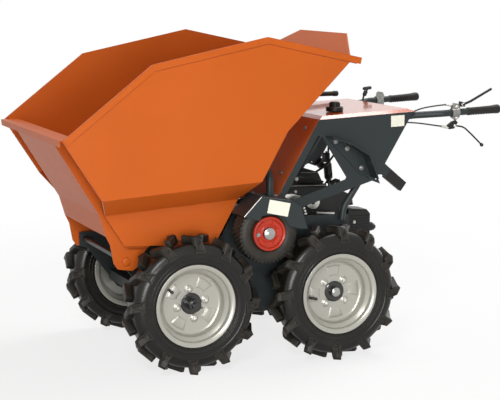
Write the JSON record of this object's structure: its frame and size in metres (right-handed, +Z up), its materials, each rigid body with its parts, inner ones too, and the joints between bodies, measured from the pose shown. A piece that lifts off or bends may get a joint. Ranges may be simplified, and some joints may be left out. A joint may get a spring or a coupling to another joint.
{
  "type": "walk-behind site dumper",
  "caption": "Walk-behind site dumper with a forward-tipping skip, lugged wheels, friction drive wheels, engine and handlebar console.",
  "frame": {"origin": "on the ground under the middle of the bounding box", "axes": "+X towards the skip's lip (forwards), +Y to the machine's left, +Z up"},
  "size_m": [1.6577, 0.7942, 1.1141],
  "materials": {
    "orange_paint": "glossy orange powder coat",
    "grey_paint": "satin anthracite powder coat",
    "black_paint": "satin black",
    "silver_paint": "satin silver",
    "red_paint": "gloss red",
    "tyre_rubber": "matt",
    "black_rubber": "matt, ribbed",
    "bright_steel": "zinc plated",
    "black_plastic": "smooth"
  },
  "bodies": {
    "chassis": {"air_filter": "black_paint", "brake_levers": "black_paint", "chassis_plate_left": "grey_paint", "chassis_plate_right": "grey_paint", "console_front_panel": "orange_paint", "console_side_left": "grey_paint", "console_side_right": "grey_paint", "console_top": "orange_paint", "control_cables": "black_plastic", "cross_members": "grey_paint", "drive_shaft": "bright_steel", "engine_bed": "grey_paint", "engine_block": "black_paint", "engine_cylinder": "black_paint", "filler_cap": "black_rubber", "front_axle": "bright_steel", "fuel_tank": "black_paint", "gear_levers": "black_paint", "gear_linkage": "black_rubber", "grip_left": "black_rubber", "grip_right": "black_rubber", "guard_left": "grey_paint", "guard_right": "grey_paint", "handle_tube_left": "grey_paint", "handle_tube_right": "grey_paint", "lever_clamps": "bright_steel", "muffler_cover": "black_paint", "pivot_shaft": "bright_steel", "rear_axle": "bright_steel", "rear_pads": "black_rubber", "recoil_cover": "black_paint", "rest_pads": "black_rubber", "side_bracket_left": "grey_paint", "side_bracket_right": "grey_paint", "skip_rest": "grey_paint", "transmission_case": "black_paint"},
    "skip": {"skip_side_left": "orange_paint", "skip_side_right": "orange_paint", "skip_wrapper": "orange_paint", "skip_cradle": "orange_paint", "tipping_handle": "black_rubber"},
    "wheel_front_left": {"tyre_front_left": "tyre_rubber", "rim_front_left": "silver_paint", "hub_front_left": "black_paint"},
    "wheel_front_right": {"tyre_front_right": "tyre_rubber", "rim_front_right": "silver_paint", "hub_front_right": "black_paint"},
    "wheel_rear_left": {"tyre_rear_left": "tyre_rubber", "rim_rear_left": "silver_paint", "hub_rear_left": "black_paint"},
    "wheel_rear_right": {"tyre_rear_right": "tyre_rubber", "rim_rear_right": "silver_paint", "hub_rear_right": "black_paint"},
    "drive_wheel_left": {"drive_tyre_left": "tyre_rubber", "drive_rim_left": "red_paint"},
    "drive_wheel_right": {"drive_tyre_right": "tyre_rubber", "drive_rim_right": "red_paint"}
  },
  "joints": [
    {"name": "skip_tip", "type": "hinge", "parent": "chassis", "child": "skip", "pos_m": [0.569, 0, 0.372], "axis": [0, 1, 0], "range_deg": [0, 88]},
    {"name": "front_left_roll", "type": "hinge", "parent": "chassis", "child": "wheel_front_left", "pos_m": [0.374, 0.3412, 0.233], "axis": [0, 1, 0], "continuous": true},
    {"name": "front_right_roll", "type": "hinge", "parent": "chassis", "child": "wheel_front_right", "pos_m": [0.374, -0.3412, 0.233], "axis": [0, 1, 0], "continuous": true},
    {"name": "rear_left_roll", "type": "hinge", "parent": "chassis", "child": "wheel_rear_left", "pos_m": [-0.154, 0.3412, 0.233], "axis": [0, 1, 0], "continuous": true},
    {"name": "rear_right_roll", "type": "hinge", "parent": "chassis", "child": "wheel_rear_right", "pos_m": [-0.154, -0.3412, 0.233], "axis": [0, 1, 0], "continuous": true},
    {"name": "drive_left_spin", "type": "hinge", "parent": "chassis", "child": "drive_wheel_left", "pos_m": [0.109, 0.3412, 0.458], "axis": [0, 1, 0], "continuous": true},
    {"name": "drive_right_spin", "type": "hinge", "parent": "chassis", "child": "drive_wheel_right", "pos_m": [0.109, -0.3412, 0.458], "axis": [0, 1, 0], "continuous": true}
  ]
}
